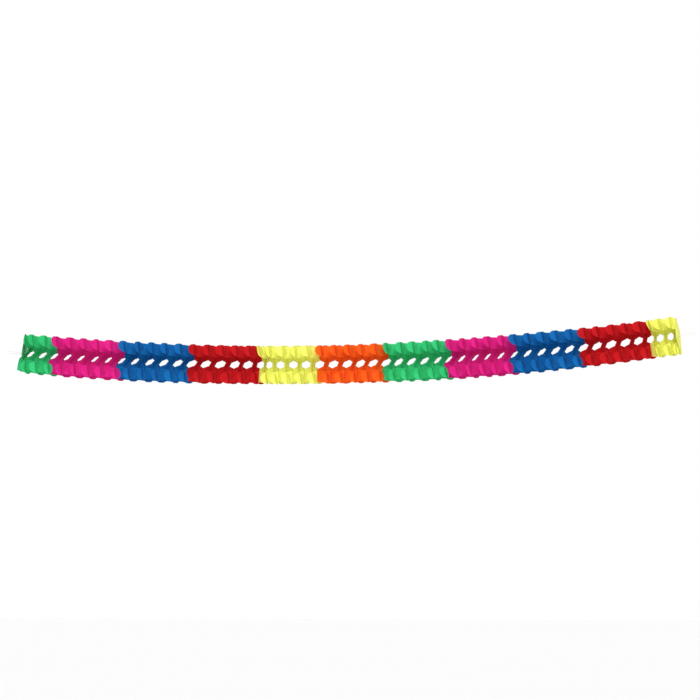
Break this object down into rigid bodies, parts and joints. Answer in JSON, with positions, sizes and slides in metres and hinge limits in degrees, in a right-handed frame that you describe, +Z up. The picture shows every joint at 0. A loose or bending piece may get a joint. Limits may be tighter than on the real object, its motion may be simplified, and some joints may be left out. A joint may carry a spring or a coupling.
{
  "type": "paper garland",
  "caption": "Hanging honeycomb garland of four-lobed tissue sheets in coloured runs, glued in stripes, with a card and a thread loop at each end",
  "frame": {"origin": "middle of the eye of the left hanging thread, where it is hung", "axes": "+X along the garland from left to right as hung, +Z up, -Y towards the viewer"},
  "size_m": [2.2262, 0.1254, 0.2163],
  "materials": {
    "tissue_green": "translucent coloured tissue paper, matt",
    "tissue_pink": "translucent coloured tissue paper, matt",
    "tissue_blue": "translucent coloured tissue paper, matt",
    "tissue_red": "translucent coloured tissue paper, matt",
    "tissue_yellow": "translucent coloured tissue paper, matt",
    "tissue_orange": "translucent coloured tissue paper, matt",
    "card_green": "thin coloured card, matt",
    "card_yellow": "thin coloured card, matt",
    "thread": "twisted white cotton thread"
  },
  "bodies": {
    "left_end": {"card_left": "card_green", "thread_left": "thread"},
    "cell_01": {"cell_01_green": "tissue_green"},
    "cell_02": {"cell_02_green": "tissue_green"},
    "cell_03": {"cell_03_green": "tissue_green"},
    "cell_04": {"cell_04_pink": "tissue_pink"},
    "cell_05": {"cell_05_pink": "tissue_pink"},
    "cell_06": {"cell_06_pink": "tissue_pink"},
    "cell_07": {"cell_07_pink": "tissue_pink"},
    "cell_08": {"cell_08_pink": "tissue_pink"},
    "cell_09": {"cell_09_blue": "tissue_blue"},
    "cell_10": {"cell_10_blue": "tissue_blue"},
    "cell_11": {"cell_11_blue": "tissue_blue"},
    "cell_12": {"cell_12_blue": "tissue_blue"},
    "cell_13": {"cell_13_blue": "tissue_blue"},
    "cell_14": {"cell_14_red": "tissue_red"},
    "cell_15": {"cell_15_red": "tissue_red"},
    "cell_16": {"cell_16_red": "tissue_red"},
    "cell_17": {"cell_17_red": "tissue_red"},
    "cell_18": {"cell_18_red": "tissue_red"},
    "cell_19": {"cell_19_yellow": "tissue_yellow"},
    "cell_20": {"cell_20_yellow": "tissue_yellow"},
    "cell_21": {"cell_21_yellow": "tissue_yellow"},
    "cell_22": {"cell_22_yellow": "tissue_yellow"},
    "cell_23": {"cell_23_yellow": "tissue_yellow"},
    "cell_24": {"cell_24_orange": "tissue_orange"},
    "cell_25": {"cell_25_orange": "tissue_orange"},
    "cell_26": {"cell_26_orange": "tissue_orange"},
    "cell_27": {"cell_27_orange": "tissue_orange"},
    "cell_28": {"cell_28_orange": "tissue_orange"},
    "cell_29": {"cell_29_green": "tissue_green"},
    "cell_30": {"cell_30_green": "tissue_green"},
    "cell_31": {"cell_31_green": "tissue_green"},
    "cell_32": {"cell_32_green": "tissue_green"},
    "cell_33": {"cell_33_green": "tissue_green"},
    "cell_34": {"cell_34_pink": "tissue_pink"},
    "cell_35": {"cell_35_pink": "tissue_pink"},
    "cell_36": {"cell_36_pink": "tissue_pink"},
    "cell_37": {"cell_37_pink": "tissue_pink"},
    "cell_38": {"cell_38_pink": "tissue_pink"},
    "cell_39": {"cell_39_blue": "tissue_blue"},
    "cell_40": {"cell_40_blue": "tissue_blue"},
    "cell_41": {"cell_41_blue": "tissue_blue"},
    "cell_42": {"cell_42_blue": "tissue_blue"},
    "cell_43": {"cell_43_blue": "tissue_blue"},
    "cell_44": {"cell_44_red": "tissue_red"},
    "cell_45": {"cell_45_red": "tissue_red"},
    "cell_46": {"cell_46_red": "tissue_red"},
    "cell_47": {"cell_47_red": "tissue_red"},
    "cell_48": {"cell_48_red": "tissue_red"},
    "cell_49": {"cell_49_yellow": "tissue_yellow"},
    "cell_50": {"cell_50_yellow": "tissue_yellow"},
    "cell_51": {"cell_51_yellow": "tissue_yellow"},
    "right_end": {"card_right": "card_yellow", "thread_right": "thread"}
  },
  "joints": [
    {"name": "fold", "type": "hinge", "parent": "left_end", "child": "right_end", "pos_m": [0.85874, 0, 9.08765], "axis": [0, 1, 0], "range_deg": [0, 13.2]},
    {"name": "fold_cell_01", "type": "hinge", "parent": "left_end", "child": "cell_01", "pos_m": [0.85874, 0, 9.08765], "axis": [0, 1, 0], "range_deg": [0, 0.0576], "deforming": ["cell_01_green"]},
    {"name": "fold_cell_02", "type": "hinge", "parent": "left_end", "child": "cell_02", "pos_m": [0.85874, 0, 9.08765], "axis": [0, 1, 0], "range_deg": [0, 0.2498], "deforming": ["cell_02_green"]},
    {"name": "fold_cell_03", "type": "hinge", "parent": "left_end", "child": "cell_03", "pos_m": [0.85874, 0, 9.08765], "axis": [0, 1, 0], "range_deg": [0, 0.4962], "deforming": ["cell_03_green"]},
    {"name": "fold_cell_04", "type": "hinge", "parent": "left_end", "child": "cell_04", "pos_m": [0.85874, 0, 9.08765], "axis": [0, 1, 0], "range_deg": [0, 0.7426], "deforming": ["cell_04_pink"]},
    {"name": "fold_cell_05", "type": "hinge", "parent": "left_end", "child": "cell_05", "pos_m": [0.85874, 0, 9.08765], "axis": [0, 1, 0], "range_deg": [0, 1.02], "deforming": ["cell_05_pink"]},
    {"name": "fold_cell_06", "type": "hinge", "parent": "left_end", "child": "cell_06", "pos_m": [0.85874, 0, 9.08765], "axis": [0, 1, 0], "range_deg": [0, 1.29], "deforming": ["cell_06_pink"]},
    {"name": "fold_cell_07", "type": "hinge", "parent": "left_end", "child": "cell_07", "pos_m": [0.85874, 0, 9.08765], "axis": [0, 1, 0], "range_deg": [0, 1.57], "deforming": ["cell_07_pink"]},
    {"name": "fold_cell_08", "type": "hinge", "parent": "left_end", "child": "cell_08", "pos_m": [0.85874, 0, 9.08765], "axis": [0, 1, 0], "range_deg": [0, 1.84], "deforming": ["cell_08_pink"]},
    {"name": "fold_cell_09", "type": "hinge", "parent": "left_end", "child": "cell_09", "pos_m": [0.85874, 0, 9.08765], "axis": [0, 1, 0], "range_deg": [0, 2.11], "deforming": ["cell_09_blue"]},
    {"name": "fold_cell_10", "type": "hinge", "parent": "left_end", "child": "cell_10", "pos_m": [0.85874, 0, 9.08765], "axis": [0, 1, 0], "range_deg": [0, 2.39], "deforming": ["cell_10_blue"]},
    {"name": "fold_cell_11", "type": "hinge", "parent": "left_end", "child": "cell_11", "pos_m": [0.85874, 0, 9.08765], "axis": [0, 1, 0], "range_deg": [0, 2.68], "deforming": ["cell_11_blue"]},
    {"name": "fold_cell_12", "type": "hinge", "parent": "left_end", "child": "cell_12", "pos_m": [0.85874, 0, 9.08765], "axis": [0, 1, 0], "range_deg": [0, 2.96], "deforming": ["cell_12_blue"]},
    {"name": "fold_cell_13", "type": "hinge", "parent": "left_end", "child": "cell_13", "pos_m": [0.85874, 0, 9.08765], "axis": [0, 1, 0], "range_deg": [0, 3.25], "deforming": ["cell_13_blue"]},
    {"name": "fold_cell_14", "type": "hinge", "parent": "left_end", "child": "cell_14", "pos_m": [0.85874, 0, 9.08765], "axis": [0, 1, 0], "range_deg": [0, 3.53], "deforming": ["cell_14_red"]},
    {"name": "fold_cell_15", "type": "hinge", "parent": "left_end", "child": "cell_15", "pos_m": [0.85874, 0, 9.08765], "axis": [0, 1, 0], "range_deg": [0, 3.82], "deforming": ["cell_15_red"]},
    {"name": "fold_cell_16", "type": "hinge", "parent": "left_end", "child": "cell_16", "pos_m": [0.85874, 0, 9.08765], "axis": [0, 1, 0], "range_deg": [0, 4.12], "deforming": ["cell_16_red"]},
    {"name": "fold_cell_17", "type": "hinge", "parent": "left_end", "child": "cell_17", "pos_m": [0.85874, 0, 9.08765], "axis": [0, 1, 0], "range_deg": [0, 4.4], "deforming": ["cell_17_red"]},
    {"name": "fold_cell_18", "type": "hinge", "parent": "left_end", "child": "cell_18", "pos_m": [0.85874, 0, 9.08765], "axis": [0, 1, 0], "range_deg": [0, 4.66], "deforming": ["cell_18_red"]},
    {"name": "fold_cell_19", "type": "hinge", "parent": "left_end", "child": "cell_19", "pos_m": [0.85874, 0, 9.08765], "axis": [0, 1, 0], "range_deg": [0, 4.88], "deforming": ["cell_19_yellow"]},
    {"name": "fold_cell_20", "type": "hinge", "parent": "left_end", "child": "cell_20", "pos_m": [0.85874, 0, 9.08765], "axis": [0, 1, 0], "range_deg": [0, 5.06], "deforming": ["cell_20_yellow"]},
    {"name": "fold_cell_21", "type": "hinge", "parent": "left_end", "child": "cell_21", "pos_m": [0.85874, 0, 9.08765], "axis": [0, 1, 0], "range_deg": [0, 5.31], "deforming": ["cell_21_yellow"]},
    {"name": "fold_cell_22", "type": "hinge", "parent": "left_end", "child": "cell_22", "pos_m": [0.85874, 0, 9.08765], "axis": [0, 1, 0], "range_deg": [0, 5.57], "deforming": ["cell_22_yellow"]},
    {"name": "fold_cell_23", "type": "hinge", "parent": "left_end", "child": "cell_23", "pos_m": [0.85874, 0, 9.08765], "axis": [0, 1, 0], "range_deg": [0, 5.83], "deforming": ["cell_23_yellow"]},
    {"name": "fold_cell_24", "type": "hinge", "parent": "left_end", "child": "cell_24", "pos_m": [0.85874, 0, 9.08765], "axis": [0, 1, 0], "range_deg": [0, 6.11], "deforming": ["cell_24_orange"]},
    {"name": "fold_cell_25", "type": "hinge", "parent": "left_end", "child": "cell_25", "pos_m": [0.85874, 0, 9.08765], "axis": [0, 1, 0], "range_deg": [0, 6.4], "deforming": ["cell_25_orange"]},
    {"name": "fold_cell_26", "type": "hinge", "parent": "left_end", "child": "cell_26", "pos_m": [0.85874, 0, 9.08765], "axis": [0, 1, 0], "range_deg": [0, 6.67], "deforming": ["cell_26_orange"]},
    {"name": "fold_cell_27", "type": "hinge", "parent": "left_end", "child": "cell_27", "pos_m": [0.85874, 0, 9.08765], "axis": [0, 1, 0], "range_deg": [0, 6.92], "deforming": ["cell_27_orange"]},
    {"name": "fold_cell_28", "type": "hinge", "parent": "left_end", "child": "cell_28", "pos_m": [0.85874, 0, 9.08765], "axis": [0, 1, 0], "range_deg": [0, 7.18], "deforming": ["cell_28_orange"]},
    {"name": "fold_cell_29", "type": "hinge", "parent": "left_end", "child": "cell_29", "pos_m": [0.85874, 0, 9.08765], "axis": [0, 1, 0], "range_deg": [0, 7.44], "deforming": ["cell_29_green"]},
    {"name": "fold_cell_30", "type": "hinge", "parent": "left_end", "child": "cell_30", "pos_m": [0.85874, 0, 9.08765], "axis": [0, 1, 0], "range_deg": [0, 7.7], "deforming": ["cell_30_green"]},
    {"name": "fold_cell_31", "type": "hinge", "parent": "left_end", "child": "cell_31", "pos_m": [0.85874, 0, 9.08765], "axis": [0, 1, 0], "range_deg": [0, 7.96], "deforming": ["cell_31_green"]},
    {"name": "fold_cell_32", "type": "hinge", "parent": "left_end", "child": "cell_32", "pos_m": [0.85874, 0, 9.08765], "axis": [0, 1, 0], "range_deg": [0, 8.22], "deforming": ["cell_32_green"]},
    {"name": "fold_cell_33", "type": "hinge", "parent": "left_end", "child": "cell_33", "pos_m": [0.85874, 0, 9.08765], "axis": [0, 1, 0], "range_deg": [0, 8.47], "deforming": ["cell_33_green"]},
    {"name": "fold_cell_34", "type": "hinge", "parent": "left_end", "child": "cell_34", "pos_m": [0.85874, 0, 9.08765], "axis": [0, 1, 0], "range_deg": [0, 8.71], "deforming": ["cell_34_pink"]},
    {"name": "fold_cell_35", "type": "hinge", "parent": "left_end", "child": "cell_35", "pos_m": [0.85874, 0, 9.08765], "axis": [0, 1, 0], "range_deg": [0, 8.98], "deforming": ["cell_35_pink"]},
    {"name": "fold_cell_36", "type": "hinge", "parent": "left_end", "child": "cell_36", "pos_m": [0.85874, 0, 9.08765], "axis": [0, 1, 0], "range_deg": [0, 9.24], "deforming": ["cell_36_pink"]},
    {"name": "fold_cell_37", "type": "hinge", "parent": "left_end", "child": "cell_37", "pos_m": [0.85874, 0, 9.08765], "axis": [0, 1, 0], "range_deg": [0, 9.49], "deforming": ["cell_37_pink"]},
    {"name": "fold_cell_38", "type": "hinge", "parent": "left_end", "child": "cell_38", "pos_m": [0.85874, 0, 9.08765], "axis": [0, 1, 0], "range_deg": [0, 9.76], "deforming": ["cell_38_pink"]},
    {"name": "fold_cell_39", "type": "hinge", "parent": "left_end", "child": "cell_39", "pos_m": [0.85874, 0, 9.08765], "axis": [0, 1, 0], "range_deg": [0, 10.03], "deforming": ["cell_39_blue"]},
    {"name": "fold_cell_40", "type": "hinge", "parent": "left_end", "child": "cell_40", "pos_m": [0.85874, 0, 9.08765], "axis": [0, 1, 0], "range_deg": [0, 10.31], "deforming": ["cell_40_blue"]},
    {"name": "fold_cell_41", "type": "hinge", "parent": "left_end", "child": "cell_41", "pos_m": [0.85874, 0, 9.08765], "axis": [0, 1, 0], "range_deg": [0, 10.59], "deforming": ["cell_41_blue"]},
    {"name": "fold_cell_42", "type": "hinge", "parent": "left_end", "child": "cell_42", "pos_m": [0.85874, 0, 9.08765], "axis": [0, 1, 0], "range_deg": [0, 10.86], "deforming": ["cell_42_blue"]},
    {"name": "fold_cell_43", "type": "hinge", "parent": "left_end", "child": "cell_43", "pos_m": [0.85874, 0, 9.08765], "axis": [0, 1, 0], "range_deg": [0, 11.15], "deforming": ["cell_43_blue"]},
    {"name": "fold_cell_44", "type": "hinge", "parent": "left_end", "child": "cell_44", "pos_m": [0.85874, 0, 9.08765], "axis": [0, 1, 0], "range_deg": [0, 11.43], "deforming": ["cell_44_red"]},
    {"name": "fold_cell_45", "type": "hinge", "parent": "left_end", "child": "cell_45", "pos_m": [0.85874, 0, 9.08765], "axis": [0, 1, 0], "range_deg": [0, 11.71], "deforming": ["cell_45_red"]},
    {"name": "fold_cell_46", "type": "hinge", "parent": "left_end", "child": "cell_46", "pos_m": [0.85874, 0, 9.08765], "axis": [0, 1, 0], "range_deg": [0, 12], "deforming": ["cell_46_red"]},
    {"name": "fold_cell_47", "type": "hinge", "parent": "left_end", "child": "cell_47", "pos_m": [0.85874, 0, 9.08765], "axis": [0, 1, 0], "range_deg": [0, 12.27], "deforming": ["cell_47_red"]},
    {"name": "fold_cell_48", "type": "hinge", "parent": "left_end", "child": "cell_48", "pos_m": [0.85874, 0, 9.08765], "axis": [0, 1, 0], "range_deg": [0, 12.54], "deforming": ["cell_48_red"]},
    {"name": "fold_cell_49", "type": "hinge", "parent": "left_end", "child": "cell_49", "pos_m": [0.85874, 0, 9.08765], "axis": [0, 1, 0], "range_deg": [0, 12.75], "deforming": ["cell_49_yellow"]},
    {"name": "fold_cell_50", "type": "hinge", "parent": "left_end", "child": "cell_50", "pos_m": [0.85874, 0, 9.08765], "axis": [0, 1, 0], "range_deg": [0, 12.94], "deforming": ["cell_50_yellow"]},
    {"name": "fold_cell_51", "type": "hinge", "parent": "left_end", "child": "cell_51", "pos_m": [0.85874, 0, 9.08765], "axis": [0, 1, 0], "range_deg": [0, 13.13], "deforming": ["cell_51_yellow"]}
  ],
  "couplings": [
    {"joint": "fold_cell_01", "follows": "fold", "ratio": 0.0042085},
    {"joint": "fold_cell_02", "follows": "fold", "ratio": 0.018773},
    {"joint": "fold_cell_03", "follows": "fold", "ratio": 0.037437},
    {"joint": "fold_cell_04", "follows": "fold", "ratio": 0.0561},
    {"joint": "fold_cell_05", "follows": "fold", "ratio": 0.076813},
    {"joint": "fold_cell_06", "follows": "fold", "ratio": 0.097731},
    {"joint": "fold_cell_07", "follows": "fold", "ratio": 0.11844},
    {"joint": "fold_cell_08", "follows": "fold", "ratio": 0.13895},
    {"joint": "fold_cell_09", "follows": "fold", "ratio": 0.15956},
    {"joint": "fold_cell_10", "follows": "fold", "ratio": 0.18099},
    {"joint": "fold_cell_11", "follows": "fold", "ratio": 0.20283},
    {"joint": "fold_cell_12", "follows": "fold", "ratio": 0.22426},
    {"joint": "fold_cell_13", "follows": "fold", "ratio": 0.2458},
    {"joint": "fold_cell_14", "follows": "fold", "ratio": 0.26743},
    {"joint": "fold_cell_15", "follows": "fold", "ratio": 0.28927},
    {"joint": "fold_cell_16", "follows": "fold", "ratio": 0.31183},
    {"joint": "fold_cell_17", "follows": "fold", "ratio": 0.33305},
    {"joint": "fold_cell_18", "follows": "fold", "ratio": 0.35305},
    {"joint": "fold_cell_19", "follows": "fold", "ratio": 0.36915},
    {"joint": "fold_cell_20", "follows": "fold", "ratio": 0.38341},
    {"joint": "fold_cell_21", "follows": "fold", "ratio": 0.40217},
    {"joint": "fold_cell_22", "follows": "fold", "ratio": 0.42186},
    {"joint": "fold_cell_23", "follows": "fold", "ratio": 0.44176},
    {"joint": "fold_cell_24", "follows": "fold", "ratio": 0.46288},
    {"joint": "fold_cell_25", "follows": "fold", "ratio": 0.48441},
    {"joint": "fold_cell_26", "follows": "fold", "ratio": 0.50492},
    {"joint": "fold_cell_27", "follows": "fold", "ratio": 0.52389},
    {"joint": "fold_cell_28", "follows": "fold", "ratio": 0.54388},
    {"joint": "fold_cell_29", "follows": "fold", "ratio": 0.56357},
    {"joint": "fold_cell_30", "follows": "fold", "ratio": 0.58295},
    {"joint": "fold_cell_31", "follows": "fold", "ratio": 0.60295},
    {"joint": "fold_cell_32", "follows": "fold", "ratio": 0.62284},
    {"joint": "fold_cell_33", "follows": "fold", "ratio": 0.6411},
    {"joint": "fold_cell_34", "follows": "fold", "ratio": 0.65935},
    {"joint": "fold_cell_35", "follows": "fold", "ratio": 0.67986},
    {"joint": "fold_cell_36", "follows": "fold", "ratio": 0.69944},
    {"joint": "fold_cell_37", "follows": "fold", "ratio": 0.71893},
    {"joint": "fold_cell_38", "follows": "fold", "ratio": 0.73913},
    {"joint": "fold_cell_39", "follows": "fold", "ratio": 0.75943},
    {"joint": "fold_cell_40", "follows": "fold", "ratio": 0.78055},
    {"joint": "fold_cell_41", "follows": "fold", "ratio": 0.80178},
    {"joint": "fold_cell_42", "follows": "fold", "ratio": 0.8228},
    {"joint": "fold_cell_43", "follows": "fold", "ratio": 0.84413},
    {"joint": "fold_cell_44", "follows": "fold", "ratio": 0.86535},
    {"joint": "fold_cell_45", "follows": "fold", "ratio": 0.88658},
    {"joint": "fold_cell_46", "follows": "fold", "ratio": 0.90862},
    {"joint": "fold_cell_47", "follows": "fold", "ratio": 0.92964},
    {"joint": "fold_cell_48", "follows": "fold", "ratio": 0.94943},
    {"joint": "fold_cell_49", "follows": "fold", "ratio": 0.96574},
    {"joint": "fold_cell_50", "follows": "fold", "ratio": 0.9803},
    {"joint": "fold_cell_51", "follows": "fold", "ratio": 0.99436}
  ]
}
